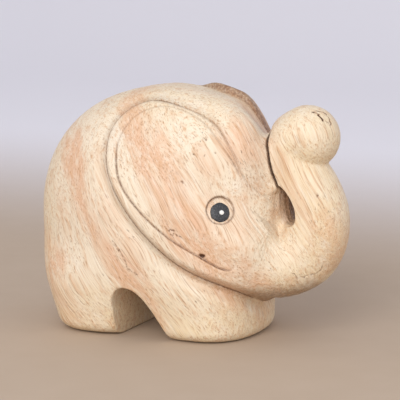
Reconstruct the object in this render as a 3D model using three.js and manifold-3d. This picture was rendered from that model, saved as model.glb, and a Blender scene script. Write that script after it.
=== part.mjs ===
// A hand-carved wooden elephant with its trunk curled up, in millimetres, +Z up, facing +X.
// Every position is first measured from the hind wall of the belly arch (x), the middle plane (y)
// and the ground (z). The last lines centre the figure over the origin.
import * as THREE from "three";
import { mergeVertices } from "three/addons/utils/BufferGeometryUtils.js";
import Module from "manifold-3d";

const wasm = await Module();
wasm.setup();

// ---- driving dimensions ----
const CROWN = 86.5; // height of the top of the back
const FLANK = 31; // half the width of the barrel
const HIND_REACH = 38.5; // from the arch's hind wall back to the rump
const BROW_REACH = 54; // from the arch's hind wall forward to the brow
const ARCH_HEIGHT = 18.3; // height of the belly arch
const EAR_RISE = 1.9; // how far an ear stands proud of the flank along its lower edge
const EAR_RISE_OVER_BACK = 0.7;
const TRUNK_BEAD = 11.1; // radius of the ball at the tip of the trunk
const EYE = { x: 39.4, z: 46.8, dish: 4.75, iris: 3.4, glint: 0.8 }; // place and radii of one eye
const IRIS_SHIFT = [0, 0, -0.85]; // the iris sits low in its dish
const GLINT_SHIFT = [0.5, 0, -1.1];

const FIT_GAP = 0.3; // clearance between a painted spot and its seat
const CUT_MARGIN = 12; // how far a cutting block reaches past the wood
const BODY_DETAIL = 11; // fineness of the carved body
const LEG_BLEND = 9; // fillet between the legs and the barrel
const NECK_BLEND = 8; // fillet between the back and the head
const HAUNCH_TOP = 27; // height at which the legs melt into the barrel
const HAUNCH_BLEND = 14;

// ---- the torso as an implicit surface: negative inside the wood ----
const BARREL_MIDDLE = 40;
const BACK = {
  centre: new THREE.Vector3(3.5, 0, BARREL_MIDDLE),
  radii: new THREE.Vector3(HIND_REACH + 3.5, FLANK, CROWN - BARREL_MIDDLE - 1.5),
  square: 2.4,
};
const HEAD_MIDDLE = 50;
const HEAD = {
  centre: new THREE.Vector3(19, 0, HEAD_MIDDLE),
  radii: new THREE.Vector3(BROW_REACH - 19, FLANK * 0.85, CROWN - HEAD_MIDDLE),
  square: 2.7,
};
// The broad root of the trunk under the cheeks.
const SNOUT = {
  centre: new THREE.Vector3(33, 0, 32),
  radii: new THREE.Vector3(24, 25.5, 16.6),
  square: 2.5,
};
// Each pair of legs is one rounded block. Its plan grows and shifts a little with height.
const HIND_LEGS = { x: -10.8, lean: -0.1, length: 17.6, growth: 0.15, width: 26, splay: 0.08, square: 2.5 };
const FRONT_LEGS = { x: 27, lean: 0, length: 19, growth: 0, width: 25.5, splay: 0.06, square: 2.5 };
// The forehead sinks between the two ears.
const FOREHEAD = { depth: 3.6, halfWidth: 9, fromX: 10, toX: 28, fromZ: 56, toZ: 70 };
// Above the curl of the trunk the brow stops further back than below it.
const BROW_STOP = { high: 51, low: 60, fromZ: 50, toZ: 56 };

const clamp01 = (value) => THREE.MathUtils.clamp(value, 0, 1);

function blend(a, b, width) {
  const share = clamp01(0.5 + (b - a) / (2 * width));
  return b + (a - b) * share - width * share * (1 - share);
}

function carve(a, b, width) {
  return -blend(-a, -b, width);
}

// A rounded body. A higher square gives its cross-section fuller shoulders.
function ellipsoid(point, { centre, radii, square }) {
  const scaled = point.clone().sub(centre).divide(radii);
  const section = (Math.abs(scaled.y) ** square + Math.abs(scaled.z) ** square) ** (1 / square);
  const reach = Math.hypot(scaled.x, section);
  const slope = scaled.clone().divide(radii).length();
  return (reach * (reach - 1)) / slope;
}

function legBlock(point, legs) {
  const halfLength = legs.length + legs.growth * point.z;
  const halfWidth = legs.width + legs.splay * point.z;
  const along = Math.abs((point.x - legs.x - legs.lean * point.z) / halfLength);
  const across = Math.abs(point.y / halfWidth);
  const reach = (along ** legs.square + across ** legs.square) ** (1 / legs.square);
  const side = (reach - 1) * Math.min(halfLength, halfWidth);
  return carve(side, point.z - HAUNCH_TOP, HAUNCH_BLEND);
}

function foreheadHollow(point) {
  const across = Math.exp(-((point.y / FOREHEAD.halfWidth) ** 2));
  const along = THREE.MathUtils.smoothstep(point.x, FOREHEAD.fromX, FOREHEAD.toX);
  const up = THREE.MathUtils.smoothstep(point.z, FOREHEAD.fromZ, FOREHEAD.toZ);
  return FOREHEAD.depth * across * along * up;
}

function browStop(point) {
  const up = THREE.MathUtils.smoothstep(point.z, BROW_STOP.fromZ, BROW_STOP.toZ);
  return point.x - THREE.MathUtils.lerp(BROW_STOP.low, BROW_STOP.high, up);
}

function torso(point) {
  let surface = blend(ellipsoid(point, BACK), ellipsoid(point, HEAD), NECK_BLEND);
  surface = blend(surface, legBlock(point, HIND_LEGS), LEG_BLEND);
  surface = blend(surface, legBlock(point, FRONT_LEGS), LEG_BLEND - 1);
  surface += foreheadHollow(point);
  surface = carve(surface, browStop(point), 2);
  surface = blend(surface, ellipsoid(point, SNOUT), NECK_BLEND / 2);
  return carve(surface, -point.z - CUT_MARGIN / 2, 1);
}

// ---- solids ----
function solidOf(geometry) {
  const bare = geometry.clone();
  bare.deleteAttribute("normal");
  bare.deleteAttribute("uv");
  const merged = mergeVertices(bare, 1e-4);
  return new wasm.Manifold(
    new wasm.Mesh({
      numProp: 3,
      vertProperties: new Float32Array(merged.attributes.position.array),
      triVerts: new Uint32Array(merged.index.array),
    }),
  );
}

function geometryOf(solid) {
  const mesh = solid.getMesh();
  const geometry = new THREE.BufferGeometry();
  geometry.setAttribute("position", new THREE.BufferAttribute(mesh.vertProperties, 3));
  geometry.setIndex(new THREE.BufferAttribute(mesh.triVerts, 1));
  geometry.computeVertexNormals();
  return geometry;
}

function reshape(geometry, move) {
  const position = geometry.attributes.position;
  const point = new THREE.Vector3();
  for (let i = 0; i < position.count; i++) {
    point.fromBufferAttribute(position, i);
    const moved = move(point);
    position.setXYZ(i, moved.x, moved.y, moved.z);
  }
  return geometry;
}

// A sphere whose points are pushed out from inside the torso until they are this far outside its surface.
function carvedTorso(riseAt) {
  const heart = new THREE.Vector3(12, 0, 42);
  const ball = new THREE.IcosahedronGeometry(1, BODY_DETAIL);
  return reshape(ball, (direction) => {
    let near = 0;
    let far = 2 * CROWN;
    for (let step = 0; step < 40; step++) {
      const middle = (near + far) / 2;
      const point = heart.clone().addScaledVector(direction, middle);
      const inside = torso(point) < riseAt(point);
      if (inside) near = middle;
      else far = middle;
    }
    return heart.clone().addScaledVector(direction, near);
  });
}

// An ear stands proud along its lower edge and only a little over the back.
function earRise(point) {
  const up = THREE.MathUtils.smoothstep(point.z + 0.3 * point.x, 46, 66);
  const inFace = THREE.MathUtils.smoothstep(0.75 * point.x + 0.3 * point.z, 49, 58);
  return THREE.MathUtils.lerp(EAR_RISE, EAR_RISE_OVER_BACK, up * (1 - inFace));
}

// A plate with the given outline in the side view, through the whole width of the figure.
function throughPlate(outline, width = 2 * (FLANK + CUT_MARGIN)) {
  const plate = new THREE.ExtrudeGeometry(new THREE.Shape(outline), { depth: width, bevelEnabled: false });
  return plate.rotateX(Math.PI / 2).translate(0, width / 2, 0);
}

// ---- trunk: centre line and half depth and half width along it, in the side view ----
const TRUNK_STATIONS = [
  { x: 38, z: 32, depth: 11, width: 13 },
  { x: 46, z: 30.4, depth: 13, width: 19 },
  { x: 54, z: 28.9, depth: 13.4, width: 18.4 },
  { x: 60, z: 30.4, depth: 12.4, width: 14.8 },
  { x: 63.9, z: 36, depth: 12, width: 12.5 },
  { x: 64.6, z: 43.5, depth: 11.8, width: 11.9 },
  { x: 63, z: 50, depth: 11, width: 11.7 },
  { x: 60, z: 56, depth: 10.3, width: 11.2 },
  { x: 57.8, z: 61.5, depth: 9.5, width: 10.9 },
  { x: 57, z: 66.5, depth: 9.4, width: 10.9 },
  { x: 58.4, z: 70.5, depth: 9.8, width: 10.9 },
];
const TRUNK_BALL = new THREE.Vector3(61.9, 0, 70.2);

function trunkTube() {
  const path = new THREE.SplineCurve(TRUNK_STATIONS.map((s) => new THREE.Vector2(s.x, s.z)));
  const girth = new THREE.SplineCurve(TRUNK_STATIONS.map((s) => new THREE.Vector2(s.depth, s.width)));
  const capsule = new THREE.CapsuleGeometry(1, 1, 4, 28, 30);
  return reshape(capsule, (point) => {
    const along = THREE.MathUtils.clamp(point.y, -0.5, 0.5);
    const spot = path.getPoint(along + 0.5);
    const heading = path.getTangent(along + 0.5);
    const { x: depth, y: width } = girth.getPoint(along + 0.5);
    const outward = point.x * depth;
    const onward = (point.y - along) * depth;
    return new THREE.Vector3(
      spot.x - heading.y * outward + heading.x * onward,
      point.z * width,
      spot.y + heading.x * outward + heading.y * onward,
    );
  });
}

// ---- outlines in the side view ----
function smoothOutline(points, divisions) {
  const curve = new THREE.CatmullRomCurve3(
    points.map(([x, z]) => new THREE.Vector3(x, z, 0)),
    true,
  );
  return curve.getPoints(divisions).slice(0, -1).map((p) => new THREE.Vector2(p.x, p.y));
}

// The ear runs from its rounded back edge forward into the face and the root of the trunk.
const EAR_OUTLINE = smoothOutline(
  [
    [14.3, 85.5], [5.4, 83], [-0.6, 75.5], [-1.8, 66], [0.7, 54.7], [9, 41.7], [20, 31], [30, 25.2],
    [43, 21.5], [56, 19], [68, 20], [66, 36], [58, 50], [46.4, 58.8], [40, 71], [32, 80],
  ],
  72,
);
// The outline climbs towards the middle plane as it wraps over the back.
const EAR_LEAN = 0.35;
const EAR_LEAN_FROM = 26;

// A plate with the ear's outline on one side of the figure (side is -1 for right, 1 for left).
function earPlate(side) {
  const reach = FLANK + CUT_MARGIN;
  const plate = throughPlate(EAR_OUTLINE, reach).translate(0, (side * reach) / 2, 0);
  return reshape(plate, (point) => {
    point.z -= EAR_LEAN * (EAR_LEAN_FROM - Math.abs(point.y));
    return point;
  });
}

// The belly arch is steep behind and slopes down forward.
const ARCH_OUTLINE = (() => {
  const shape = new THREE.Shape();
  shape.moveTo(0, -CUT_MARGIN);
  shape.lineTo(0, ARCH_HEIGHT * 0.68);
  shape.bezierCurveTo(0.4, ARCH_HEIGHT * 0.9, 2.4, ARCH_HEIGHT, 4.6, ARCH_HEIGHT);
  shape.bezierCurveTo(10.5, ARCH_HEIGHT, 14, 10.5, 20.2, 0.2);
  shape.lineTo(27, -CUT_MARGIN);
  return shape.getPoints(8);
})();

// The hollow inside the curl of the trunk, and the narrow slit above it.
const CURL_OUTLINE = smoothOutline(
  [[54.6, 54.4], [57.9, 52.3], [60.3, 49], [61.5, 45.2], [61, 42], [58.6, 40.6], [56.2, 42], [55, 47.5]],
  32,
);
const SLIT_WIDTH = 0.8;
const SLIT_PATH = [[47.6, 79], [48.9, 70], [50.4, 66.2], [51.5, 62], [52.9, 57.8], [55, 53]];

function slitOutline() {
  const curve = new THREE.SplineCurve(SLIT_PATH.map(([x, z]) => new THREE.Vector2(x, z)));
  const steps = [...Array(13).keys()].map((i) => i / 12);
  const edge = (side) =>
    steps.map((t) => {
      const heading = curve.getTangent(t);
      const sideways = new THREE.Vector2(-heading.y, heading.x);
      return curve.getPoint(t).addScaledVector(sideways, (side * SLIT_WIDTH) / 2);
    });
  return [...edge(1), ...edge(-1).reverse()];
}

// ---- body ----
function groundBlock() {
  const block = new THREE.BoxGeometry(4 * HIND_REACH, 4 * FLANK, 2 * CUT_MARGIN);
  return block.translate(12, 0, -CUT_MARGIN);
}

function wholeBody() {
  const raised = solidOf(carvedTorso(earRise));
  const ears = raised.intersect(solidOf(earPlate(-1))).add(raised.intersect(solidOf(earPlate(1))));
  const ball = new THREE.SphereGeometry(TRUNK_BEAD, 28, 18).translate(...TRUNK_BALL);
  const plain = solidOf(carvedTorso(() => 0));
  const wood = plain.add(ears).add(solidOf(trunkTube())).add(solidOf(ball));
  return wood
    .subtract(solidOf(groundBlock()))
    .subtract(solidOf(throughPlate(ARCH_OUTLINE)))
    .subtract(solidOf(throughPlate(CURL_OUTLINE)))
    .subtract(solidOf(throughPlate(slitOutline())));
}

// ---- eyes: a shallow dish in the wood, a domed black iris in it and a white glint on the iris ----
const DISH_DEPTH = 0.9;
const IRIS_SINK = 0.6; // how far the iris goes below the floor of the dish
const IRIS_RISE = 0.5; // height of the edge of the iris above that floor
const IRIS_DOME = 0.4; // extra height at its middle
const GLINT_SINK = 0.4;
const GLINT_RISE = 0.3;
const ROUND = 32;

// A turned spot, flat below and domed above, closed on its axis.
function turned(radius, bottom, edge, dome) {
  const arc = [0, 0.25, 0.5, 0.75, 1].map((t) => {
    const angle = (t * Math.PI) / 2;
    return new THREE.Vector2(radius * Math.cos(angle), edge + dome * Math.sin(angle));
  });
  arc[arc.length - 1].x = 0;
  return new THREE.LatheGeometry([new THREE.Vector2(0, bottom), new THREE.Vector2(radius, bottom), ...arc], ROUND);
}

// Where an eye sits on the side of the head (side is -1 for right, 1 for left) and the way it faces.
function eyePlace(solid, side) {
  const mesh = new THREE.Mesh(geometryOf(solid), new THREE.MeshBasicMaterial());
  const surfaceAt = (x, z) => {
    const start = new THREE.Vector3(x, side * 2 * FLANK, z);
    return new THREE.Raycaster(start, new THREE.Vector3(0, -side, 0)).intersectObject(mesh)[0].point;
  };
  const forward = surfaceAt(EYE.x + EYE.dish, EYE.z).sub(surfaceAt(EYE.x - EYE.dish, EYE.z));
  const upward = surfaceAt(EYE.x, EYE.z + EYE.dish).sub(surfaceAt(EYE.x, EYE.z - EYE.dish));
  const outward = forward.cross(upward).multiplyScalar(-side).normalize();
  const turn = new THREE.Quaternion().setFromUnitVectors(new THREE.Vector3(0, 1, 0), outward);
  return new THREE.Matrix4().compose(surfaceAt(EYE.x, EYE.z), turn, new THREE.Vector3(1, 1, 1));
}

const FLOOR = -DISH_DEPTH;
const IRIS_TOP = FLOOR + IRIS_RISE + IRIS_DOME;
const GLINT_SEAT = IRIS_TOP - GLINT_SINK;

const shifted = (place, shift) => place.clone().premultiply(new THREE.Matrix4().makeTranslation(...shift));

function seatCutter(place) {
  const dish = turned(EYE.dish, FLOOR, CUT_MARGIN, 0.1).applyMatrix4(place);
  const seat = turned(EYE.iris + FIT_GAP, FLOOR - IRIS_SINK - FIT_GAP, 0, 0.1);
  return solidOf(dish).add(solidOf(seat.applyMatrix4(shifted(place, IRIS_SHIFT))));
}

function irisSolid(place) {
  const iris = turned(EYE.iris, FLOOR - IRIS_SINK, FLOOR + IRIS_RISE, IRIS_DOME);
  const seat = turned(EYE.glint + FIT_GAP, GLINT_SEAT - FIT_GAP, CUT_MARGIN, 0.1);
  return solidOf(iris.applyMatrix4(shifted(place, IRIS_SHIFT))).subtract(
    solidOf(seat.applyMatrix4(shifted(place, GLINT_SHIFT))),
  );
}

function glintSolid(place) {
  const glint = turned(EYE.glint, GLINT_SEAT, IRIS_TOP, GLINT_RISE);
  return solidOf(glint.applyMatrix4(shifted(place, GLINT_SHIFT)));
}

// ---- assembly ----
const WOOD = { color: 0xd9b98c, roughness: 0.55, metalness: 0 };
const BLACK_ENAMEL = { color: 0x15161a, roughness: 0.18, metalness: 0 };
const WHITE_ENAMEL = { color: 0xf4f2ec, roughness: 0.25, metalness: 0 };

const blank = wholeBody();
const rightEye = eyePlace(blank, -1);
const leftEye = eyePlace(blank, 1);
const body = blank.subtract(seatCutter(rightEye)).subtract(seatCutter(leftEye));

const pieces = [
  ["carved_body", body, WOOD],
  ["right_eye_iris", irisSolid(rightEye), BLACK_ENAMEL],
  ["right_eye_glint", glintSolid(rightEye), WHITE_ENAMEL],
  ["left_eye_iris", irisSolid(leftEye), BLACK_ENAMEL],
  ["left_eye_glint", glintSolid(leftEye), WHITE_ENAMEL],
];

const bodyGeometry = geometryOf(body);
bodyGeometry.computeBoundingBox();
const middle = bodyGeometry.boundingBox.getCenter(new THREE.Vector3());

const figure = new THREE.Group();
figure.name = "wooden_elephant";
for (const [name, solid, finish] of pieces) {
  const mesh = new THREE.Mesh(geometryOf(solid), new THREE.MeshStandardMaterial(finish));
  mesh.name = name;
  mesh.geometry.translate(-middle.x, 0, 0);
  figure.add(mesh);
}

export default figure;
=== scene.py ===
"""Looks of a hand-carved wooden elephant with a curled trunk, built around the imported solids.

The wood is carved as a signed distance field: negative inside the wood, in millimetres. Its
side view is measured from the hind wall of the belly arch (x) and the ground (z), and y is
measured from the middle plane. The field is meshed, refined where the cuts are fine, and put
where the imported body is. The eyes are domed spots of enamel.
"""

import math

import bpy
import numpy as np
import openvdb
from mathutils import Matrix, Vector


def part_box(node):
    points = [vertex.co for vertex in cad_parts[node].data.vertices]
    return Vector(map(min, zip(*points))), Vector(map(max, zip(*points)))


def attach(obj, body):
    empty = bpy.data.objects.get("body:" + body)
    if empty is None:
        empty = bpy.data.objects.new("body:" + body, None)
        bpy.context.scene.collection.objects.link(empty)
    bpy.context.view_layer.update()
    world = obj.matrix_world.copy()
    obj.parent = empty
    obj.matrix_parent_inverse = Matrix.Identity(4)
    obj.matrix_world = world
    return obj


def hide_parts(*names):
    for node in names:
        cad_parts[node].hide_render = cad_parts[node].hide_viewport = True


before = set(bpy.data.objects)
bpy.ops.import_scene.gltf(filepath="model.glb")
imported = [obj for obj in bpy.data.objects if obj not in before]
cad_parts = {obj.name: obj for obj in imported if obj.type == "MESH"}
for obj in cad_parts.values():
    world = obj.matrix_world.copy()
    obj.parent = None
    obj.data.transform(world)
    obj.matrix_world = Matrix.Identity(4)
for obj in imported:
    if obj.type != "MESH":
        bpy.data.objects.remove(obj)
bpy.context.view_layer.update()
body_low, body_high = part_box("carved_body")

MM = 0.001
RIGHT, LEFT = -1, 1

# ---- driving dimensions, in millimetres ----
CROWN = 86.5  # height of the top of the back
FLANK = 31.0  # half the width of the barrel
HIND_REACH = 38.5  # from the arch's hind wall back to the rump
BROW_REACH = 54.0  # from the arch's hind wall forward to the brow
ARCH_HEIGHT = 18.3
EAR_RISE = 1.9  # how far an ear stands proud of the flank
TRUNK_BEAD = 9.2  # radius of the ball at the tip of the trunk
TRUNK_REACH = 76.56  # from the arch's hind wall to the front of the trunk
EYE_X, EYE_Z = 39.4, 47.3
DISH_RADIUS, DISH_DEPTH = 4.75, 0.9
IRIS_RADIUS, IRIS_RISE = 3.4, 0.75
GLINT_RADIUS, GLINT_RISE = 0.8, 0.3
SLIT_HALF = 0.33  # half the width of the slit between the trunk and the brow
CREST_SIDE = 9.0  # how far left of the middle plane the left ear's crest begins

# The carver's zero point in the shared frame, in millimetres.
ARCH_WALL_X = body_high.x / MM - TRUNK_REACH
GROUND_Z = body_low.z / MM


# ---- soft joins between shapes ----
def blend(a, b, width):
    """Union of two distances with a fillet."""
    share = np.clip(0.5 + 0.5 * (b - a) / width, 0, 1)
    return b + (a - b) * share - width * share * (1 - share)


def carve(a, b, width):
    """Intersection of two distances with a rounded edge."""
    return -blend(-a, -b, width)


def ramp(value, low, high):
    """0 below low, 1 above high, smooth between."""
    share = np.clip((value - low) / (high - low), 0, 1)
    return share * share * (3 - 2 * share)


def hill(value, centre, width):
    """1 at the centre, falling away like a bell."""
    return np.exp(-(((value - centre) / width) ** 2))


def ellipsoid(x, y, z, centre, radii, square=2.0):
    """A rounded body. A higher square gives its cross-section fuller shoulders."""
    px, py, pz = ((v - c) / r for v, c, r in zip((x, y, z), centre, radii))
    section = (np.abs(py) ** square + np.abs(pz) ** square) ** (1 / square)
    reach = np.sqrt(px**2 + section**2)
    steep = np.sqrt((px / radii[0]) ** 2 + (py / radii[1]) ** 2 + (pz / radii[2]) ** 2)
    return reach * (reach - 1) / np.maximum(steep, 1e-6)


# ---- curves in the side view ----
def spline(points, steps, closed=False):
    """A smooth curve through the points (rows of any length)."""
    p = np.asarray(points, float)
    if closed:
        p = np.vstack([p[-1:], p, p[:2]])
    else:
        p = np.vstack([2 * p[0] - p[1], p, 2 * p[-1] - p[-2]])
    t = np.linspace(0, 1, steps, endpoint=False)[:, None]
    parts = [
        0.5 * (2 * b + (c - a) * t + (2 * a - 5 * b + 4 * c - d) * t**2 + (3 * b - a - 3 * c + d) * t**3)
        for a, b, c, d in zip(p[:-3], p[1:-2], p[2:-1], p[3:])
    ]
    return np.vstack(parts if closed else [*parts, p[-2:-1]])


def bezier(start, pull_a, pull_b, end, steps):
    t = np.linspace(0, 1, steps)[:, None]
    a, b, c, d = (np.asarray(p, float) for p in (start, pull_a, pull_b, end))
    return a * (1 - t) ** 3 + 3 * b * t * (1 - t) ** 2 + 3 * c * t**2 * (1 - t) + d * t**3


def nearest(x, z, line):
    """Distance to an open line, and the line's other columns at the nearest point."""
    best = np.full(x.shape, 1e9)
    carried = [np.zeros(x.shape) for _ in range(line.shape[1] - 2)]
    for a, b in zip(line[:-1], line[1:]):
        run, rise = b[:2] - a[:2]
        share = np.clip(((x - a[0]) * run + (z - a[1]) * rise) / (run**2 + rise**2), 0, 1)
        gap = np.hypot(x - a[0] - run * share, z - a[1] - rise * share)
        closer = gap < best
        best = np.where(closer, gap, best)
        carried = [np.where(closer, p + (q - p) * share, c) for p, q, c in zip(a[2:], b[2:], carried)]
    return best, carried


def inside_depth(x, z, outline):
    """Signed distance to a closed outline, positive inside."""
    loop = np.vstack([outline, outline[:1]])
    gap, _ = nearest(x, z, loop)
    odd = np.zeros(x.shape, bool)
    for (ax, az), (bx, bz) in zip(loop[:-1], loop[1:]):
        if az != bz:
            odd ^= ((az <= z) != (bz <= z)) & (x < ax + (z - az) / (bz - az) * (bx - ax))
    return np.where(odd, gap, -gap)


# Trunk: x, z, half depth, half width and squareness of the section along its centre line.
TRUNK = spline(
    [
        (27, 40, 20.5, 25, 2.6),
        (38, 34.6, 16.8, 24.5, 2.6),
        (47, 30.2, 14.2, 21.5, 2.6),
        (54, 28.4, 11.6, 16, 2.4),
        (60, 30.2, 10.6, 12.2, 2.2),
        (63.9, 36, 10.1, 10.6, 2),
        (64.6, 43.5, 9.9, 10, 2),
        (63, 50, 9.1, 9.8, 2),
        (60, 56, 8.4, 9.3, 2),
        (57.1, 61.5, 6.9, 9, 2),
        (55.9, 66.5, 6.4, 9, 2),
        (57.4, 70.5, 6.9, 9, 2),
    ],
    5,
)
TRUNK_BALL = (61.7, 0, 70.5)
# An ear's edge, and the line engraved inside it.
EAR = spline(
    [
        (14.3, 85.5), (5.4, 83), (-0.6, 75.5), (-1.8, 66), (0.7, 54.7), (9, 41.7), (20, 31), (30, 25.2),
        (43, 21.5), (56, 19), (68, 20), (66, 36), (58, 50), (46.4, 58.8), (40, 71), (32, 80),
    ],
    6,
    closed=True,
)
EAR_LINE = spline(
    [
        (14.6, 83), (7.8, 79.3), (3.8, 72.8), (2.4, 65), (4.6, 54.9), (11, 46), (21.7, 36.7), (33, 30.8),
        (44, 27.5), (50, 40), (44.8, 59.5), (38.7, 70), (31, 78.6), (22.4, 82.7),
    ],
    6,
    closed=True,
)
ARCH = np.vstack(
    [
        [(0, -12)],
        bezier((0, 0.68 * ARCH_HEIGHT), (0.4, 0.9 * ARCH_HEIGHT), (2.4, ARCH_HEIGHT), (4.6, ARCH_HEIGHT), 8),
        bezier((4.6, ARCH_HEIGHT), (10.5, ARCH_HEIGHT), (14, 10.5), (20.2, 0.2), 12)[1:],
        [(27, -12)],
    ]
)
CURL = spline(
    [(54.6, 54.4), (57.9, 52.3), (60.3, 49), (61.5, 45.2), (61, 42), (58.6, 40.6), (56.2, 42), (55, 47.5)],
    6,
    closed=True,
)
SLIT = spline([(49.6, 79), (50.2, 70), (51.3, 66.2), (52.2, 62), (53.3, 57.8), (55, 53)], 5)


class SideView:
    """Distances in the side view, worked out once on a fine sheet and looked up from then on."""

    PITCH = 0.2
    CORNER = np.array([-44.0, -14.0])
    COLUMNS, ROWS = 610, 540

    def __init__(self):
        x = self.CORNER[0] + self.PITCH * np.arange(self.COLUMNS)[:, None] * np.ones(self.ROWS)
        z = self.CORNER[1] + self.PITCH * np.arange(self.ROWS) * np.ones((self.COLUMNS, 1))
        trunk_gap, (depth, width, square) = nearest(x, z, TRUNK)
        self.sheets = {
            "ear": inside_depth(x, z, EAR),
            "ear_line": inside_depth(x, z, EAR_LINE),
            "arch": inside_depth(x, z, ARCH),
            "curl": inside_depth(x, z, CURL),
            "slit": nearest(x, z, SLIT)[0],
            "trunk_gap": trunk_gap,
            "trunk_depth": depth,
            "trunk_width": width,
            "trunk_square": square,
        }

    def look_up(self, name, x, z):
        sheet = self.sheets[name]
        u = np.clip((x - self.CORNER[0]) / self.PITCH, 0, sheet.shape[0] - 1.001)
        v = np.clip((z - self.CORNER[1]) / self.PITCH, 0, sheet.shape[1] - 1.001)
        i, j = u.astype(int), v.astype(int)
        u, v = u - i, v - j
        near = sheet[i, j] * (1 - u) + sheet[i + 1, j] * u
        far = sheet[i, j + 1] * (1 - u) + sheet[i + 1, j + 1] * u
        return near * (1 - v) + far * v


side_view = SideView()


# ---- the carving ----
# Rounded bodies: centre, radii and squareness of the section.
BACK = ((3.5, 0, 40), (HIND_REACH + 3.5, FLANK, CROWN - 41.5), 2.4)
HEAD = ((19, 0, 50), (BROW_REACH - 19, 0.85 * FLANK, CROWN - 50), 2.7)
HIND_LEGS = dict(middle=-10.8, lean=-0.1, length=17.6, growth=0.15, width=26, splay=0.08)
FORE_LEGS = dict(middle=27, lean=0, length=19, growth=0, width=25.5, splay=0.06)
LEG_TOP, LEG_SHOULDER = 27, 14  # height where a leg block ends, and the rounding there
LEG_SQUARE = 2.5
# Fillets where the shapes meet.
NECK_FILLET, HIND_FILLET, FORE_FILLET = 8, 9, 8
BALL_FILLET, NOSE_FILLET = 1.0, 4
CUT_FILLET = 0.5  # between the slit and the hollow
# Rounding of the cut edges. On the cheek side, CHEEK_EDGE is added to the slit's.
SOLE_EDGE, ARCH_EDGE, SLIT_EDGE, CHEEK_EDGE = 4.5, 0.6, 0.4, 3.6
FACE_FRONT, JAW_FRONT, FACE_EDGE = 51, 60, 2  # the head stops here above and below the trunk's root


def leg_block(x, y, z, middle, lean, length, growth, width, splay):
    """Both legs of a pair as one rounded block whose plan grows and shifts with height."""
    half_length = length + growth * z
    half_width = width + splay * z
    along = np.abs((x - middle - lean * z) / half_length)
    across = np.abs(y / half_width)
    reach = (along**LEG_SQUARE + across**LEG_SQUARE) ** (1 / LEG_SQUARE)
    return carve((reach - 1) * np.minimum(half_length, half_width), z - LEG_TOP, LEG_SHOULDER)


def trunk(x, y, z):
    gap, depth, width, square = (
        side_view.look_up("trunk_" + name, x, z) for name in ("gap", "depth", "width", "square")
    )
    return (((gap / depth) ** square + np.abs(y / width) ** square) ** (1 / square) - 1) * depth


FOREHEAD_DEPTH, BROW_DEPTH = 1.4, 3.4
CREST_RISE, CREST_WALL = 2.3, 0.8


def forehead(x, y, z):
    """The forehead sinks towards the left ear, whose crest stands over it as a small wall."""
    depth = FOREHEAD_DEPTH * ramp(x, 8, 26) + BROW_DEPTH * ramp(x, 32, 44)
    hollow = depth * hill(y, 5, 10) * ramp(z, 56, 70)
    crest = ramp(y, CREST_SIDE - CREST_WALL, CREST_SIDE + CREST_WALL) * (1 - ramp(y, 15, 24))
    return hollow - CREST_RISE * crest * ramp(x, 16, 24) * (1 - ramp(x, 31, 44)) * ramp(z, 62, 70)


def rough_shape(x, y, z):
    """Body, legs, head and trunk before the fine cuts."""
    shape = blend(ellipsoid(x, y, z, *BACK), ellipsoid(x, y, z, *HEAD), NECK_FILLET)
    shape = blend(shape, leg_block(x, y, z, **HIND_LEGS), HIND_FILLET)
    shape = blend(shape, leg_block(x, y, z, **FORE_LEGS), FORE_FILLET)
    shape = shape + forehead(x, y, z)
    shape = carve(shape, ramp(z, 50, 56) * (JAW_FRONT - FACE_FRONT) + x - JAW_FRONT, FACE_EDGE)
    nose = blend(trunk(x, y, z), ellipsoid(x, y, z, TRUNK_BALL, (TRUNK_BEAD,) * 3), BALL_FILLET)
    return blend(shape, nose, NOSE_FILLET)


def front_fade(x, z):
    """1 where the ear has melted into the face."""
    return ramp(0.75 * x + 0.3 * z, 49, 58)


def line_fade(x, z):
    """1 where the line inside the rim is cut, 0 where it has run out."""
    return (1 - ramp(x, 41, 46)) * (1 - 0.6 * ramp(z, 62, 70))


EAR_LEAN = 0.35  # the outline of an ear climbs towards the middle plane as it wraps over the back
EAR_LEAN_FROM = 26  # from this distance to the middle plane
# Heights and depths of the ear's cuts at its top, and what its lower lobe adds.
RIM_RISE, RIM_RISE_LOW = 0.9, EAR_RISE - 0.5
TROUGH_DEPTH, TROUGH_DEPTH_LOW = 0.3, 0.9
CREASE_DEPTH, CREASE_DEPTH_LOW = 0.42, -0.2
PANEL_DEPTH, PANEL_DEPTH_LOW = 0.25, 0.45
RIM_DROP_FRONT = 0.6
LINE_DEPTH, LINE_HALF = 0.5, 0.34
CREASE_PLACE, CREASE_HALF = -0.25, 0.28


def ear_height(y, z):
    return z + EAR_LEAN * (EAR_LEAN_FROM - np.abs(y))


def ear_relief(x, y, z):
    """Height of an ear over the flank."""
    z = ear_height(y, z)
    edge = side_view.look_up("ear", x, z)
    inner = side_view.look_up("ear_line", x, z)
    low = 1 - ramp(z + 0.3 * x, 46, 66)
    front = ramp(x + 0.5 * z, 56, 66)
    rise = RIM_RISE + RIM_RISE_LOW * low - RIM_DROP_FRONT * front * (1 - low)
    roll = np.clip((edge + 0.3) / (1.3 + 1.2 * low), 0, 1)
    rim = rise * roll * (2 - roll)
    trough = -(TROUGH_DEPTH + TROUGH_DEPTH_LOW * low) * hill(edge, -2.4, 2.2)
    trough -= (CREASE_DEPTH + CREASE_DEPTH_LOW * low) * hill(edge, CREASE_PLACE, CREASE_HALF)
    line = -LINE_DEPTH * hill(inner, 0, LINE_HALF) * line_fade(x, z)
    panel = -(PANEL_DEPTH + PANEL_DEPTH_LOW * low) * ramp(inner, -0.3, 0.4) * (1 - ramp(inner, 1, 12))
    cut = rim + trough + line + panel * line_fade(x, z)
    melted = front_fade(x, z)
    return cut * (1 - melted) + EAR_RISE * melted


STEP_EDGES = (7.6, 5.4, 3.2)
STEP_DEPTH, STEP_SLOPE = 0.4, 1.2


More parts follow.
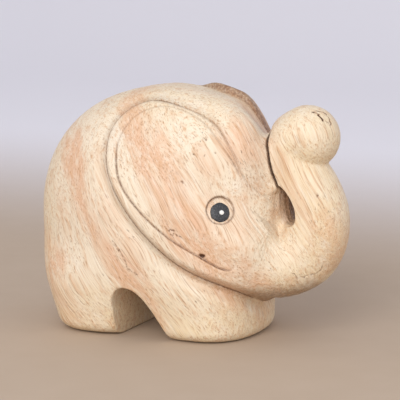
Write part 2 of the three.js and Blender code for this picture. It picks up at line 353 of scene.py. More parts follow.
def curl_steps(y):
    """The hollow in the curl narrows towards the middle in small gouge steps."""
    return sum(STEP_DEPTH * (1 - ramp(np.abs(y), edge, edge + STEP_SLOPE)) for edge in STEP_EDGES)


def cuts(x, y, z):
    """Everything that is cut through from side to side, negative in the cut."""
    curl = curl_steps(y) - side_view.look_up("curl", x, z)
    slit = side_view.look_up("slit", x, z) - SLIT_HALF
    return blend(curl, slit, CUT_FILLET)


# Small natural flaws of the wood on its right side: depth, half width, and the path in the side view.
FLAWS = [
    (1.5, 0.55, [(34.0, 31.9), (34.3, 31.6)]),
    (0.8, 0.32, [(27.1, 56.8), (27.2, 56.7)]),
    (0.3, 0.26, [(23.2, 39.8), (23.8, 40.5), (24.7, 40.5), (25.2, 39.9)]),
    (0.3, 0.24, [(25.1, 39.2), (24.6, 38.6), (24.0, 38.8)]),
    (0.35, 0.24, [(25.6, 39.0), (26.0, 38.6)]),
    (0.4, 0.24, [(26.7, 38.1), (27.0, 37.9)]),
    (0.5, 0.22, [(21.6, 41.2), (22.0, 41.0)]),
    (0.35, 0.24, [(32.3, 71.4), (32.8, 71.0), (33.3, 70.5)]),
    (0.45, 0.22, [(29.9, 65.9), (30.5, 65.6)]),
    (0.35, 0.22, [(15.7, 73.6), (16.8, 73.0)]),
    (0.5, 0.24, [(33.4, 65.5), (33.5, 65.4)]),
    (0.35, 0.22, [(36.6, 66.5), (36.7, 66.2)]),
    (0.4, 0.22, [(1.7, 35.1), (4.7, 31.4), (6.9, 27.8), (7.2, 25.9), (9.3, 24.1)]),
    (0.45, 0.26, [(9.3, 24.1), (10.3, 23.9)]),
    (0.4, 0.2, [(74.0, 44.3), (74.1, 42.6)]),
    (0.4, 0.2, [(68.9, 52.4), (69.1, 51.5)]),
    (0.35, 0.22, [(61.6, 25.8), (63.3, 24.0), (65.1, 24.1), (67.9, 25.0), (69.7, 25.9), (70.6, 27.8)]),
    (
        0.6,
        0.26,
        [(65.2, 79.9), (66.0, 80.2), (67.4, 79.8), (68.6, 79.1), (69.6, 78.1), (70.5, 76.9), (71.2, 75.4)],
    ),
    (0.45, 0.24, [(65.2, 79.9), (66.2, 79.5), (67.1, 79.2)]),
    (0.9, 0.34, [(67.2, 79.0), (68.2, 78.1), (69.1, 77.0)]),
    (0.45, 0.24, [(69.7, 77.0), (70.4, 76.4)]),
]


HALVINGS = 30  # of the way from the middle plane to well outside the wood


def skin_point(x, z, side=RIGHT):
    """The point on one side of the carving that the side view shows at x, z."""
    near, far = np.array([x, 0.0, z]), np.array([x, side * 2 * FLANK, z])
    for _ in range(HALVINGS):
        middle = (near + far) / 2
        if without_eyes(*middle[:, None])[0] < 0:
            near = middle
        else:
            far = middle
    return near


RAGGED, RAGGED_RATE = 0.2, 3.7  # how far a flaw's edge wanders, and how often
UNEVEN, UNEVEN_RATES = 0.3, (2.9, 1.3, 3.3)  # the same for its depth


def flaws(x, y, z, spread=1):
    """Depth of the small flaws at each point. A spread above 1 widens them."""
    points = np.stack([x, y, z], 1)
    total = np.zeros(len(points))
    for depth, half_width, path in flaw_paths:
        reach = 4 * spread * half_width
        near = np.flatnonzero(((points > path.min(0) - reach) & (points < path.max(0) + reach)).all(1))
        if not len(near):
            continue
        spots = points[near] + RAGGED * np.sin(points[near][:, [1, 2, 0]] * RAGGED_RATE)
        gap = np.full(len(near), 1e9)
        for a, b in zip(path[:-1], path[1:]):
            share = np.clip((spots - a) @ (b - a) / ((b - a) @ (b - a)), 0, 1)
            gap = np.minimum(gap, np.linalg.norm(spots - a - share[:, None] * (b - a), axis=1))
        broken = 1 - UNEVEN + UNEVEN * np.sin(spots @ UNEVEN_RATES)
        total[near] = np.maximum(total[near], depth * broken * hill(gap, 0, spread * half_width))
    return total


def without_eyes(x, y, z):
    shape = rough_shape(x, y, z) - ear_relief(x, y, z)
    shape = carve(shape, -z, SOLE_EDGE)
    shape = carve(shape, side_view.look_up("arch", x, z), ARCH_EDGE)
    cheek_side = (1 - ramp(x, 55.5, 58.5)) * (1 - ramp(z, 51, 54))
    return carve(shape, -cuts(x, y, z), SLIT_EDGE + CHEEK_EDGE * cheek_side)


def slope(field, points, step=0.05):
    """Gradient of a field at the points, by central differences."""
    columns = []
    for axis in range(3):
        shift = np.zeros(3)
        shift[axis] = step
        columns.append((field(*(points + shift).T) - field(*(points - shift).T)) / (2 * step))
    return np.stack(columns, axis=1)


def eye_place(side):
    """Middle of an eye on the side of the head, and the way it faces."""
    middle = skin_point(EYE_X, EYE_Z, side)
    outward = slope(without_eyes, middle[None], 0.8 * DISH_RADIUS)[0]
    return middle, outward / np.linalg.norm(outward)


flaw_paths = [
    (depth, half_width, np.array([skin_point(x, z) for x, z in path])) for depth, half_width, path in FLAWS
]
eyes = {side: eye_place(side) for side in (RIGHT, LEFT)}


DISH_SWELL, SWELL_RADIUS = 0.25, 2.5  # the floor is this much higher inside this radius than at the wall
DISH_REACH = 5  # the cutter is no longer than this, so it stays on its own side
DISH_EDGE = 0.35  # rounding of the rim


def eye_dish(x, y, z, side):
    """A shallow round dish for an eye, negative in the cut."""
    middle, outward = eyes[side]
    away = [v - m for v, m in zip((x, y, z), middle)]
    height = sum(a * o for a, o in zip(away, outward))
    radius = np.sqrt(np.maximum(sum(a * a for a in away) - height**2, 0))
    turn = np.arctan2(away[2], away[0])
    wobble = 0.12 * np.sin(3 * turn + 0.7) + 0.08 * np.sin(5 * turn - 1)
    floor = -DISH_DEPTH + DISH_SWELL * (1 - ramp(radius, SWELL_RADIUS, DISH_RADIUS))
    wall = np.maximum(radius - DISH_RADIUS - wobble, floor - height)
    return np.maximum(wall, np.abs(height) - DISH_REACH)


def carving(x, y, z):
    shape = without_eyes(x, y, z) + flaws(x, y, z)
    for side in eyes:
        shape = carve(shape, -eye_dish(x, y, z, side), DISH_EDGE)
    return shape


# ---- from the field to a mesh ----
FINE = 0.45  # pitch of the fine grid
KEPT_SHARE = 0.24  # of the triangles, before the fine cuts get theirs
CUT_EDGES = (0.5, 0.32)  # longest edge near a fine cut, round by round
BLOCK = 4  # fine steps in one coarse step
NEAR = 2.2  # the fine grid is worked out this many coarse steps from the surface
BAND = 3  # distances are kept for this many fine steps
GRID_CORNER = np.array([-43.0, -36.0, -2.7])
GRID_SIZE = (122, 72, 93)  # holds the whole carving
GRID_BLOCKS = tuple(math.ceil(side / (FINE * BLOCK)) for side in GRID_SIZE)


def fine_grid():
    """The field on a fine grid, worked out only near the surface."""
    coarse = FINE * BLOCK
    axes = [GRID_CORNER[i] + coarse * (np.arange(GRID_BLOCKS[i]) + 0.5) for i in range(3)]
    x, y, z = np.meshgrid(*axes, indexing="ij")
    rough = carving(x.ravel(), y.ravel(), z.ravel()).reshape(x.shape)
    values = rough
    for axis in range(3):
        values = np.repeat(values, BLOCK, axis)
    near = np.argwhere(np.abs(rough) < NEAR * coarse)
    steps = np.arange(BLOCK)
    cell = np.stack(np.meshgrid(steps, steps, steps, indexing="ij"), -1).reshape(-1, 3)
    spots = (near[:, None] * BLOCK + cell).reshape(-1, 3)
    points = GRID_CORNER + FINE * (spots + 0.5)
    values[tuple(spots.T)] = carving(*points.T)
    return np.clip(values, -BAND * FINE, BAND * FINE).astype(np.float32)


LEAST_STEEP = 0.2  # keeps a move short where the field is flat
LONGEST_MOVE = 0.5 * FINE


def on_surface(points, rounds=3):
    """Moves the points along the field's slope until they lie on the surface."""
    for _ in range(rounds):
        gradient = slope(carving, points)
        steep = np.maximum((gradient**2).sum(1), LEAST_STEEP)
        move = -carving(*points.T)[:, None] * gradient / steep[:, None]
        length = np.maximum(np.linalg.norm(move, axis=1, keepdims=True), 1e-9)
        points = points + move * np.minimum(1, LONGEST_MOVE / length)
    return points


def meshed():
    grid = openvdb.FloatGrid(BAND * FINE)
    grid.copyFromArray(fine_grid())
    spots, quads = grid.convertToQuads(isovalue=0.0)
    points = GRID_CORNER + FINE * (spots.astype(float) + 0.5)
    return on_surface(points), quads[:, ::-1]


def mesh_object(name, points, faces):
    mesh = bpy.data.meshes.new(name)
    mesh.from_pydata([tuple(p) for p in points], [], [tuple(int(i) for i in f) for f in faces])
    mesh.update()
    piece = bpy.data.objects.new(name, mesh)
    bpy.context.scene.collection.objects.link(piece)
    return piece


def baked(piece, make_modifier):
    """Applies one modifier to a piece for good."""
    make_modifier(piece)
    graph = bpy.context.evaluated_depsgraph_get()
    mesh = bpy.data.meshes.new_from_object(piece.evaluated_get(graph))
    piece.modifiers.clear()
    piece.data = mesh
    return piece


def thinned(piece, share):
    def add(target):
        modifier = target.modifiers.new("thin", "DECIMATE")
        modifier.ratio = share
        modifier.use_collapse_triangulate = True

    return baked(piece, add)


def arrays_of(piece):
    mesh = piece.data
    points = np.empty(len(mesh.vertices) * 3)
    mesh.vertices.foreach_get("co", points)
    corners = np.empty(len(mesh.loops), int)
    mesh.loops.foreach_get("vertex_index", corners)
    return points.reshape(-1, 3), corners.reshape(-1, 3)


def fine_detail(points):
    """1 where the cuts are fine and the mesh has to follow them closely."""
    x, y, z = points.T
    z = ear_height(y, z)
    edge = side_view.look_up("ear", x, z)
    inner = side_view.look_up("ear_line", x, z)
    flank = ramp(np.abs(y), 8, 12)
    line = (np.abs(inner) < 0.9) & (line_fade(x, z) > 0.02)
    edge = (np.abs(edge + 0.2) < 1) & (front_fade(x, z) < 0.9)
    marked = (line | edge) & (flank > 0)
    for middle, _ in eyes.values():
        away = np.linalg.norm(points - middle, axis=1)
        marked |= np.abs(away - DISH_RADIUS) < 0.9
    marked |= flaws(*points.T, spread=2) > 0.06
    return marked


def refined(points, triangles, longest):
    """Splits the long edges near fine cuts, and the triangles on both sides of each."""
    sides = np.sort(np.vstack([triangles[:, [0, 1]], triangles[:, [1, 2]], triangles[:, [2, 0]]]), axis=1)
    edges, index = np.unique(sides, axis=0, return_inverse=True)
    index = index.reshape(3, -1).T
    ends = points[edges]
    length = np.linalg.norm(ends[:, 0] - ends[:, 1], axis=1)
    split = (length > longest) & fine_detail(ends.mean(1))
    fresh = np.full(len(edges), -1)
    fresh[split] = len(points) + np.arange(split.sum())
    middle = fresh[index]
    made = [triangles[(middle < 0).all(1)]]
    count = (middle >= 0).sum(1)
    for turn in range(3):
        a, b, c = (triangles[:, (turn + k) % 3] for k in range(3))
        ab, bc, ca = (middle[:, (turn + k) % 3] for k in range(3))
        one = (count == 1) & (ab >= 0)
        made += [np.stack([a, ab, c], 1)[one], np.stack([ab, b, c], 1)[one]]
        two = (count == 2) & (ca < 0)
        made += [np.stack(t, 1)[two] for t in ((a, ab, c), (ab, bc, c), (ab, b, bc))]
    three = count == 3
    a, b, c = triangles[three].T
    ab, bc, ca = middle[three].T
    made += [np.stack(t, 1) for t in ((a, ab, ca), (ab, b, bc), (ca, bc, c), (ab, bc, ca))]
    return np.vstack([points, ends[split].mean(1)]), np.vstack(made)


def carved_wood():
    rough = mesh_object("rough_carving", *meshed())
    points, triangles = arrays_of(thinned(rough, KEPT_SHARE))
    bpy.data.objects.remove(rough)
    for longest in CUT_EDGES:
        points, triangles = refined(points, triangles, longest)
    points = on_surface(points, 4)
    return points, triangles


points, triangles = carved_wood()


def placed(points):
    """From the carver's measures to the shared frame, in metres."""
    return (np.asarray(points) + (ARCH_WALL_X, 0, GROUND_Z)) * MM


body = mesh_object("carved_wood", placed(points), triangles)


# How dark each kind of mark is painted. All are painted shade, except the flaws, which are real dark pits.
PAINTED_SHADE_AND_PITS = {
    "line": 0.95,
    "crease": 0.8,
    "valley": 0.3,
    "dish": 0.8,
    "slit": 0.9,
    "hollow": 0.75,
    "flaw": 5,
    "jaw": 0.72,
    "crest": 0.92,
    "brow": 0.2,
}
DARKEST_MARK = 1.6  # anything above 1 is a pit, and nearly black
DISH_RING = 0.35  # half width of the painted shade around an eye's dish


def shade_and_pits_of(points):
    """How dark each point is painted, 0 to 1: painted shade in the cuts, hollows, under the jaw and on the
    left crest, and more in a pit of a flaw.
    """
    x, y, z = points.T
    wrapped = ear_height(y, z)
    edge = side_view.look_up("ear", x, wrapped)
    inner = side_view.look_up("ear_line", x, wrapped)
    flank = ramp(np.abs(y), 6, 10)
    # Painted shade in the engraved line, and in the crease and soft valley outside the ear's rim.
    line = PAINTED_SHADE_AND_PITS["line"] * hill(inner, 0, 0.32) * line_fade(x, wrapped)
    front = ramp(x + 0.5 * wrapped, 56, 66) * ramp(wrapped, 50, 60)
    crease = PAINTED_SHADE_AND_PITS["crease"] * hill(edge, CREASE_PLACE, CREASE_HALF) + PAINTED_SHADE_AND_PITS["valley"] * hill(edge, -0.7, 1.3)
    crease *= (1 - front_fade(x, wrapped)) * (1 - 0.5 * front)
    shade_and_pits = (line + crease) * flank
    # Painted shade in a ring round each eye's dish.
    for middle, outward in eyes.values():
        away = points - middle
        height = away @ outward
        radius = np.sqrt(np.maximum((away**2).sum(1) - height**2, 0))
        shade_and_pits = np.maximum(shade_and_pits, PAINTED_SHADE_AND_PITS["dish"] * hill(radius, DISH_RADIUS, DISH_RING) * (np.abs(height) < 4))
    # Painted shade in the slit and in the hollow of the curl.
    slit = PAINTED_SHADE_AND_PITS["slit"] * ramp(-side_view.look_up("slit", x, z), -SLIT_HALF - 0.2, -SLIT_HALF)
    hollow = PAINTED_SHADE_AND_PITS["hollow"] * ramp(side_view.look_up("curl", x, z), -1.5, 0) * (1 - ramp(np.abs(y), 5, 10))
    # The flaws are real dark pits in the wood.
    marks = PAINTED_SHADE_AND_PITS["flaw"] * flaws(x, y, z)
    # Painted shade under the jaw, where the head's underside turns down, away from the light.
    over_jaw = z - 0.1 * np.maximum(x - 50, 0)
    jaw = PAINTED_SHADE_AND_PITS["jaw"] * ramp(x, 26, 42) * (1 - ramp(over_jaw, 16, 22.5)) * ramp(edge, -0.8, 0.3)
    # Painted shade on the wall of the left ear's crest, which faces away from the light; only the left side
    # has it.
    wall = ramp(y, CREST_SIDE - 1.4, CREST_SIDE - 0.2) * (1 - ramp(y, CREST_SIDE + 1.5, CREST_SIDE + 7))
    crest = PAINTED_SHADE_AND_PITS["crest"] * wall * ramp(x, 15, 20) * (1 - ramp(x, 46, 52)) * ramp(z, 62, 68)
    # Painted shade on the face in front of the slit, which turns away from the light.
    brow = PAINTED_SHADE_AND_PITS["brow"] * ramp(x, 42, 50) * (1 - ramp(x, 50.5, 52)) * ramp(z, 50, 56)
    return np.clip(np.maximum.reduce([shade_and_pits, slit, hollow, marks, jaw, crest, brow]), 0, DARKEST_MARK)


shade_and_pits_layer = body.data.attributes.new("shade_and_pits", "FLOAT", "POINT")
shade_and_pits_layer.data.foreach_set("value", shade_and_pits_of(points).astype(np.float32))


# ---- geometry nodes ----
class Tree:
    """A geometry node tree with named number inputs."""

    def __init__(self, name, numbers):
        self.group = bpy.data.node_groups.new(name, "GeometryNodeTree")
        self.group.interface.new_socket("Geometry", in_out="INPUT", socket_type="NodeSocketGeometry")
        self.group.interface.new_socket("Geometry", in_out="OUTPUT", socket_type="NodeSocketGeometry")
        self.keys = {}
        for key, value in numbers.items():
            socket = self.group.interface.new_socket(key, in_out="INPUT", socket_type="NodeSocketFloat")
            socket.default_value = value
            self.keys[key] = socket.identifier
        self.inputs = self.group.nodes.new("NodeGroupInput").outputs
        self.result = self.group.nodes.new("NodeGroupOutput").inputs["Geometry"]

    def node(self, kind, values=None, **settings):
        node = self.group.nodes.new(kind)
        for key, value in settings.items():
            setattr(node, key, value)
        for key, value in (values or {}).items():
            if isinstance(value, bpy.types.NodeSocket):
                self.group.links.new(value, node.inputs[key])
            else:
                node.inputs[key].default_value = value
        return node

    def maths(self, operation, *values):
        return self.node("ShaderNodeMath", dict(enumerate(values)), operation=operation).outputs[0]

    def vector(self, operation, *values):
        return self.node("ShaderNodeVectorMath", dict(enumerate(values)), operation=operation).outputs[0]

    def close(self, geometry, material):
        real = self.node("GeometryNodeRealizeInstances", {"Geometry": geometry}).outputs[0]
        painted = self.node("GeometryNodeSetMaterial", {"Geometry": real, "Material": material}).outputs[0]
        self.group.links.new(painted, self.result)

    def grow(self, piece, **numbers):
        """Runs the tree on a piece and keeps what it makes as a plain mesh."""

        def add(target):
            modifier = target.modifiers.new(self.group.name, "NODES")
            modifier.node_group = self.group
            for key, value in numbers.items():
                modifier[self.keys[key]] = float(value)

        return baked(piece, add)


def tool_marks(material):
    """Shallow strokes of a blade along the fibres, all over the wood."""
    t = Tree("tool_marks", {"Depth": 0, "Across": 0, "Along": 0, "Tilt": 0, "Seed": 0})
    where = t.vector("SCALE", t.node("GeometryNodeInputPosition").outputs[0])
    where.node.inputs["Scale"].default_value = 1 / MM
    tilt = {"Vector": where, "Angle": t.inputs["Tilt"]}
    along_fibres = t.node("ShaderNodeVectorRotate", tilt, rotation_type="Y_AXIS").outputs[0]
    lengths = {0: t.inputs["Across"], 1: t.inputs["Across"], 2: t.inputs["Along"]}
    stretch = t.node("ShaderNodeCombineXYZ", lengths).outputs[0]
    place = t.vector("DIVIDE", along_fibres, stretch)
    strokes = t.node(
        "ShaderNodeTexNoise",
        {"Vector": place, "W": t.inputs["Seed"], "Scale": 1, "Detail": 2, "Roughness": 0.6},
        noise_dimensions="4D",
    )
    height = t.maths("MULTIPLY", t.maths("SUBTRACT", strokes.outputs[0], 0.5), t.inputs["Depth"])
    move = t.vector("SCALE", t.node("GeometryNodeInputNormal").outputs[0])
    t.group.links.new(height, move.node.inputs["Scale"])
    moved = t.node("GeometryNodeSetPosition", {"Geometry": t.inputs["Geometry"], "Offset": move}).outputs[0]
    t.close(moved, material)
    return t


DROP_SEGMENTS, DROP_RINGS = 56, 28
DROP_WAVES = 2.4  # how finely its edge wavers
DROP_FULLNESS = 0.75  # below 1 the dome has full shoulders


def enamel_drop(material):
    """A drop of paint: round, domed towards +Z, a little uneven at its edge, and sunk below."""
    t = Tree("enamel_drop", {"Radius": 1, "Rise": 1, "Sink": 1, "Unevenness": 0, "Seed": 0})
    facets = {"Segments": DROP_SEGMENTS, "Rings": DROP_RINGS, "Radius": 1}
    ball = t.node("GeometryNodeMeshUVSphere", facets).outputs["Mesh"]
    place = t.node("GeometryNodeInputPosition").outputs[0]
    apart = t.node("ShaderNodeSeparateXYZ", {0: place})
    waves = t.node(
        "ShaderNodeTexNoise",
        {"Vector": place, "W": t.inputs["Seed"], "Scale": DROP_WAVES, "Detail": 3},
        noise_dimensions="4D",
    )
    uneven = t.maths("MULTIPLY", t.maths("SUBTRACT", waves.outputs[0], 0.5), t.inputs["Unevenness"])
    reach = t.maths("MULTIPLY", t.inputs["Radius"], t.maths("ADD", uneven, 1))
    crown = t.maths("POWER", t.maths("MAXIMUM", apart.outputs[2], 0), DROP_FULLNESS)
    dome = t.maths("MULTIPLY", crown, t.inputs["Rise"])
    root = t.maths("MULTIPLY", t.maths("MINIMUM", apart.outputs[2], 0), t.inputs["Sink"])
    parts = {
        0: t.maths("MULTIPLY", apart.outputs[0], reach),
        1: t.maths("MULTIPLY", apart.outputs[1], reach),
        2: t.maths("MULTIPLY", t.maths("ADD", dome, root), t.maths("ADD", uneven, 1)),
    }
    moved = t.node("ShaderNodeCombineXYZ", parts).outputs[0]
    shaped = t.node("GeometryNodeSetPosition", {"Geometry": ball, "Position": moved}).outputs[0]
    t.close(shaped, material)
    return t


def spot(name, side, drop, offset, height, slot_name, node, **sizes):
    """One drop of enamel on the eye's own axis, moved forward and up by the offset."""
    piece = drop.grow(mesh_object(name, [], []), **sizes)
    middle, outward = eyes[side]
    forward = np.cross(outward, (0, 0, side))
    forward /= np.linalg.norm(forward)
    upward = np.cross(outward, forward)
    flat = np.empty(len(piece.data.vertices) * 3)
    piece.data.vertices.foreach_get("co", flat)
    points = flat.reshape(-1, 3) + (offset[0], offset[1] * -side, height)
    points = middle + points @ np.array([forward, upward, outward])
    piece.data.vertices.foreach_set("co", placed(points).ravel())
    piece.data.update()
    finish(piece, node)


def smooth(piece):
    for polygon in piece.data.polygons:
        polygon.use_smooth = True


def finish(piece, node):
    smooth(piece)
    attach(piece, "root")
    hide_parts(node)


# ---- materials ----
class Nodes:
    """Short ways to build a node material."""

    def __init__(self, name):
        self.material = bpy.data.materials.new(name)
        self.material.use_nodes = True
        self.tree = self.material.node_tree
        self.shader = self.tree.nodes["Principled BSDF"]
        self.place = self.add("ShaderNodeTexCoord").outputs["Object"]

    def add(self, kind, inputs=None, **settings):
        node = self.tree.nodes.new(kind)
        for key, value in settings.items():
            setattr(node, key, value)
        for key, value in (inputs or {}).items():
            self.put(value, node.inputs[key])
        return node

    def put(self, value, socket):
        if isinstance(value, bpy.types.NodeSocket):
            self.tree.links.new(value, socket)
        else:
            socket.default_value = value

    def mapped(self, turn=(0, 0, 0), stretch=(1, 1, 1), shift=(0, 0, 0), place=None):
        node = self.add("ShaderNodeMapping", {"Vector": place or self.place})
        node.inputs["Rotation"].default_value = turn
        node.inputs["Scale"].default_value = stretch
        node.inputs["Location"].default_value = shift
        return node.outputs["Vector"]

    def noise(self, place, scale, detail, rough, distortion=0.0):
        node = self.add("ShaderNodeTexNoise", {"Vector": place, "Scale": scale, "Detail": detail})
        node.inputs["Roughness"].default_value = rough
        node.inputs["Distortion"].default_value = distortion
        return node.outputs["Fac"]

    def maths(self, operation, a, b=0.0):
        node = self.add("ShaderNodeMath", operation=operation)
        self.put(a, node.inputs[0])
        self.put(b, node.inputs[1])
        return node.outputs[0]

    def vector(self, operation, *values):
        return self.add("ShaderNodeVectorMath", dict(enumerate(values)), operation=operation).outputs[0]

    def span(self, value, low, high, out_low=0.0, out_high=1.0):
        """Goes smoothly from out_low to out_high while the value goes from low to high."""
        node = self.add("ShaderNodeMapRange", {"Value": value}, interpolation_type="SMOOTHSTEP")
        for key, number in zip(("From Min", "From Max", "To Min", "To Max"), (low, high, out_low, out_high)):
            node.inputs[key].default_value = number
        return node.outputs["Result"]

    def mix(self, share, a, b):
        node = self.add("ShaderNodeMix", data_type="RGBA")
        self.put(share, node.inputs[0])
        self.put(a, node.inputs[6])
        self.put(b, node.inputs[7])
        return node.outputs[2]

    def tinted(self, colour, value, low, high, share, tone):
        """Lays a tone over the colour, by up to the share, while the value goes from low to high."""
        return self.mix(self.span(value, low, high, 0, share), colour, (*tone, 1))

    def attribute(self, name):
        return self.add("ShaderNodeAttribute", attribute_name=name).outputs["Fac"]

    def bump(self, height, strength, distance):
        node = self.add("ShaderNodeBump", {"Height": height, "Strength": strength, "Distance": distance})
        return node.outputs["Normal"]


def linear(red, green, blue):
    """A display colour (0 to 255) as the shader wants it."""
    shares = (red / 255, green / 255, blue / 255)
    return tuple(v / 12.92 if v <= 0.04045 else ((v + 0.055) / 1.055) ** 2.4 for v in shares)


CREAM = linear(236, 221, 197)
PALE = linear(244, 235, 220)
HONEY = linear(236, 213, 168)
TAN = linear(211, 168, 128)
ROSE = linear(227, 188, 156)
DARK_GRAIN = linear(158, 110, 68)
PORE = linear(78, 48, 28)
# The brown tone of the painted shade in the cuts.
SHADE_UMBER = linear(108, 64, 34)
GRAIN_TILT = math.radians(33)  # the fibres lean forward as they go down
GRAIN_WANDER = 14  # how far they stray from that, in millimetres
WANDER_PITCH = (0.04, 0.04, 0.02)
RING_SPACING = 31.5  # from one rosy band of the heartwood to the next, across the fibres
ROSY_PLACE = 32.5
RING_STRENGTH = 0.12
PORE_PITCH = (2.4, 2.4, 0.26)  # pores to the millimetre, across the fibres and along them
GRAIN_DEPTH = 0.0006


def pale_wood():
    n = Nodes("pale_wood")
    millimetres = n.mapped(stretch=(1 / MM,) * 3)
    along = n.mapped(turn=(0, GRAIN_TILT, 0), place=millimetres)  # its Z runs with the fibres
    wander = n.add("ShaderNodeTexNoise", {"Vector": n.mapped(stretch=WANDER_PITCH, place=along), "Scale": 1})
    strayed = n.vector("SUBTRACT", wander.outputs["Color"], (0.5, 0.5, 0.5))
    fibre = n.vector("MULTIPLY_ADD", strayed, (GRAIN_WANDER, GRAIN_WANDER, 0), along)

    def grain(across, lengthwise, detail, rough, shift=0.0):
        place = n.mapped(stretch=(across, across, lengthwise), shift=(shift, shift, shift), place=fibre)
        return n.noise(place, 1, detail, rough)

    patches = grain(across=0.06, lengthwise=0.018, detail=3, rough=0.55)
    clouds = grain(across=0.08, lengthwise=0.05, detail=3, rough=0.6, shift=7)
    bands = grain(across=0.3, lengthwise=0.014, detail=3, rough=0.6, shift=3)
    streaks = grain(across=1.1, lengthwise=0.032, detail=3, rough=0.6, shift=5)
    hairs = grain(across=2.6, lengthwise=0.05, detail=2, rough=0.6, shift=9)

    # The ground is cream, with rosy bands where the heartwood shows.
    across = n.add("ShaderNodeSeparateXYZ", {"Vector": fibre}).outputs["X"]
    from_band = n.maths("SUBTRACT", across, ROSY_PLACE - RING_SPACING / 4)
    rings = n.maths("SINE", n.maths("MULTIPLY", from_band, 2 * math.pi / RING_SPACING))
    rosy = n.span(n.maths("ADD", n.maths("MULTIPLY", rings, RING_STRENGTH), patches), 0.43, 0.66)
    rosy = n.maths("MULTIPLY", rosy, n.span(bands, 0.34, 0.54, 0.45, 1))
    colour = n.mix(rosy, (*CREAM, 1), (*ROSE, 1))

    # It turns to honey where the wax is thicker: low down, on the trunk, on the rump and on the back.
    # Each row gives the axis, where the honey starts, where it is full, and its share.
    apart = n.add("ShaderNodeSeparateXYZ", {"Vector": millimetres})
    waxed = 0.0
    for axis, start, full, share in (
        ("Z", 28, 4, 0.6),
        ("X", 28, 42, 0.5),
        ("X", -36, -54, 0.5),
        ("Z", 70, 84, 0.35),
    ):
        waxed = n.maths("MAXIMUM", waxed, n.span(apart.outputs[axis], start, full, 0, share))
    waxed = n.maths("MULTIPLY", waxed, n.span(clouds, 0.35, 0.6, 0.45, 1))
    colour = n.mix(waxed, colour, (*HONEY, 1))

    # Pale clouds, then streaks along the fibres, from broad bands down to hair lines.
    # Each row gives the pattern, where the tone starts, where it is full, its share and the tone.
    for value, low, high, share, tone in (
        (clouds, 0.54, 0.7, 0.35, PALE),
        (bands, 0.52, 0.7, 0.45, TAN),
        (streaks, 0.51, 0.7, 0.65, TAN),
        (streaks, 0.47, 0.3, 0.35, PALE),
        (hairs, 0.54, 0.7, 0.52, DARK_GRAIN),
        (hairs, 0.45, 0.3, 0.3, PALE),
    ):
        colour = n.tinted(colour, value, low, high, share, tone)

    # Short dark pores along the fibres, in some places more than in others.
    pore_place = n.mapped(stretch=PORE_PITCH, place=fibre)
    pores = n.add("ShaderNodeTexVoronoi", {"Vector": pore_place, "Scale": 1, "Randomness": 1})
    pore_room = grain(across=0.16, lengthwise=0.07, detail=3, rough=0.6, shift=11)
    pore = n.maths("MULTIPLY", n.span(pores.outputs["Distance"], 0.2, 0.08), n.span(pore_room, 0.53, 0.7))
    colour = n.mix(n.maths("MULTIPLY", pore, 0.6), colour, (*PORE, 1))

    # Painted shade darkens the cuts and hollows, the jaw's underside, the left crest and the brow, and the
    # pits of the flaws are nearly black.
    shade_and_pits = n.attribute("shade_and_pits")
    broken = n.noise(n.mapped(stretch=(1.1, 1.1, 1.1), place=millimetres), 1, 4, 0.75)
    shade_and_pits_share = n.maths("MULTIPLY", shade_and_pits, n.span(broken, 0.32, 0.6, 0.45, 1))
    colour = n.mix(n.maths("MULTIPLY", shade_and_pits_share, 0.9), colour, (*SHADE_UMBER, 1))
    colour = n.tinted(colour, shade_and_pits, 1, 1.4, 0.85, PORE)
    n.put(colour, n.shader.inputs["Base Color"])

    n.put(n.span(streaks, 0.3, 0.7, 0.38, 0.58), n.shader.inputs["Roughness"])
    relief = n.maths("ADD", n.maths("MULTIPLY", hairs, 0.3), n.maths("MULTIPLY", streaks, 0.7))
    relief = n.maths("SUBTRACT", relief, n.maths("MULTIPLY", pore, 0.8))
    n.put(n.bump(relief, 0.9, GRAIN_DEPTH), n.shader.inputs["Normal"])
    n.shader.inputs["Specular IOR Level"].default_value = 0.4
    return n.material


DUST_GREY = (0.22, 0.23, 0.25)
DUST_PITCH = 2.6  # specks to the millimetre
STROKE_PITCH = (1.4, 1.4, 4)
STROKE_DEPTH = 0.0002
STROKE_SHEEN = 0.18  # how much rougher the paint is along a stroke


def enamel(name, colour, roughness, speck):
    """Glossy brush-laid paint with faint strokes and dust."""
    n = Nodes(name)
    millimetres = n.mapped(stretch=(1 / MM,) * 3)
    strokes = n.noise(n.mapped(stretch=STROKE_PITCH, place=millimetres), 1, 3, 0.6, 0.6)
    dust = n.noise(millimetres, DUST_PITCH, 5, 0.75)
    tone = n.tinted((*colour, 1), dust, 0.52, 0.72, speck, DUST_GREY)
    n.put(tone, n.shader.inputs["Base Color"])
    n.put(n.span(strokes, 0.3, 0.7, roughness, roughness + STROKE_SHEEN), n.shader.inputs["Roughness"])
    n.put(n.bump(strokes, 0.6, STROKE_DEPTH), n.shader.inputs["Normal"])
    return n.material


wood = pale_wood()
black_enamel = enamel("black_enamel", (0.03, 0.032, 0.036), roughness=0.22, speck=0.7)
white_enamel = enamel("white_enamel", (0.85, 0.85, 0.82), roughness=0.3, speck=0.1)

tool_marks(wood).grow(body, Depth=0.3 * MM, Across=1.3, Along=11, Tilt=GRAIN_TILT, Seed=4)
finish(body, "carved_body")

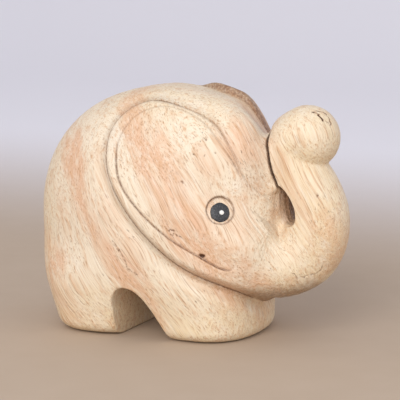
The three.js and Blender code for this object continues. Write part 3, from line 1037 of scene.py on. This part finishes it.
black_drop = enamel_drop(black_enamel)
white_drop = enamel_drop(white_enamel)
IRIS_OFFSET, GLINT_OFFSET = (0, -0.55), (0.45, -0.75)  # forward and up from the middle of the dish
for side, word in ((RIGHT, "right"), (LEFT, "left")):
    iris = dict(Radius=IRIS_RADIUS, Rise=IRIS_RISE, Sink=0.5, Unevenness=0.16, Seed=2 + side)
    glint = dict(Radius=GLINT_RADIUS, Rise=GLINT_RISE, Sink=0.35, Unevenness=0.3, Seed=5 + side)
    name = f"{word}_eye_iris"
    spot(name + "_paint", side, black_drop, IRIS_OFFSET, -DISH_DEPTH, "black_enamel", name, **iris)
    name = f"{word}_eye_glint"
    height = IRIS_RISE - DISH_DEPTH
    spot(name + "_paint", side, white_drop, GLINT_OFFSET, height, "white_enamel", name, **glint)


# ---- stage ----
FLOOR_DARK, FLOOR_LIGHT = linear(184, 165, 144), linear(190, 172, 152)
BACKDROP = linear(244, 243, 248)


def floor_finish():
    """Sand-coloured near the figure, and nearly white where it rises behind it."""
    n = Nodes("pale_floor")
    mottle = n.noise(n.mapped(stretch=(60, 60, 60)), 1, 3, 0.5)
    ground = n.mix(mottle, (*FLOOR_DARK, 1), (*FLOOR_LIGHT, 1))
    depth = n.add("ShaderNodeSeparateXYZ", {"Vector": n.place}).outputs["Y"]
    n.put(n.tinted(ground, depth, 0.1, 0.5, 1, BACKDROP), n.shader.inputs["Base Color"])
    n.shader.inputs["Roughness"].default_value = 0.85
    return n.material


BEND_STEPS = 12


def sweep(name, width, near, far, height, bend):
    """Floor that bends up into a backdrop behind the figure."""
    profile = [(near, 0.0), (0.0, 0.0), (far - bend, 0.0)]
    turns = np.linspace(0, math.pi / 2, BEND_STEPS + 1)[1:]
    profile += [(far - bend + bend * math.sin(a), bend - bend * math.cos(a)) for a in turns]
    profile.append((far, height))
    points = [(side * width / 2, y, z) for y, z in profile for side in (-1, 1)]
    faces = [(2 * i, 2 * i + 1, 2 * i + 3, 2 * i + 2) for i in range(len(profile) - 1)]
    return mesh_object(name, points, faces)


SOLE_GAP = 0.1  # the blade strokes make the soles slightly uneven
floor = sweep("floor", width=6, near=-2.5, far=1.6, height=2.2, bend=0.8)
floor.data.transform(Matrix.Translation((0, 0, -SOLE_GAP * MM)))
smooth(floor)
floor.data.materials.append(floor_finish())


LIT_POINT = Vector((0, 0, 0.04))


def area_light(name, place, size, power, tint):
    light = bpy.data.lights.new(name, "AREA")
    light.size = size
    light.energy = power
    light.color = tint
    lamp = bpy.data.objects.new(name, light)
    bpy.context.scene.collection.objects.link(lamp)
    lamp.location = place
    lamp.rotation_mode = "QUATERNION"
    lamp.rotation_quaternion = (LIT_POINT - Vector(place)).to_track_quat("-Z", "Y")


area_light("window", place=(0.12, -1.1, 0.62), size=0.8, power=10.4, tint=(1, 0.985, 0.965))
area_light("side_fill", place=(1.25, -0.15, 0.35), size=0.9, power=2.4, tint=(1, 0.95, 0.89))

STUDIO_AIR, STUDIO_FILL = linear(222, 221, 228), 0.86
world = bpy.data.worlds.new("studio")
world.use_nodes = True
background = world.node_tree.nodes["Background"].inputs
background["Color"].default_value = (*STUDIO_AIR, 1)
background["Strength"].default_value = STUDIO_FILL
bpy.context.scene.world = world

CAMERA_AZIMUTH, CAMERA_ELEVATION = 24, 9.3
CAMERA_DISTANCE = 0.656
CAMERA_AIM = Vector((0.0018, 0.0006, 0.0459))
LENS = 166.7
azimuth, elevation = math.radians(CAMERA_AZIMUTH), math.radians(CAMERA_ELEVATION)
back = Vector(
    (math.sin(azimuth) * math.cos(elevation), -math.cos(azimuth) * math.cos(elevation), math.sin(elevation))
)
camera = bpy.data.objects.new("camera", bpy.data.cameras.new("camera"))
bpy.context.scene.collection.objects.link(camera)
camera.data.lens = LENS
camera.location = CAMERA_AIM + back * CAMERA_DISTANCE
camera.rotation_mode = "QUATERNION"
camera.rotation_quaternion = (-back).to_track_quat("-Z", "Y")
bpy.context.scene.camera = camera
bpy.context.scene.view_settings.view_transform = "Standard"
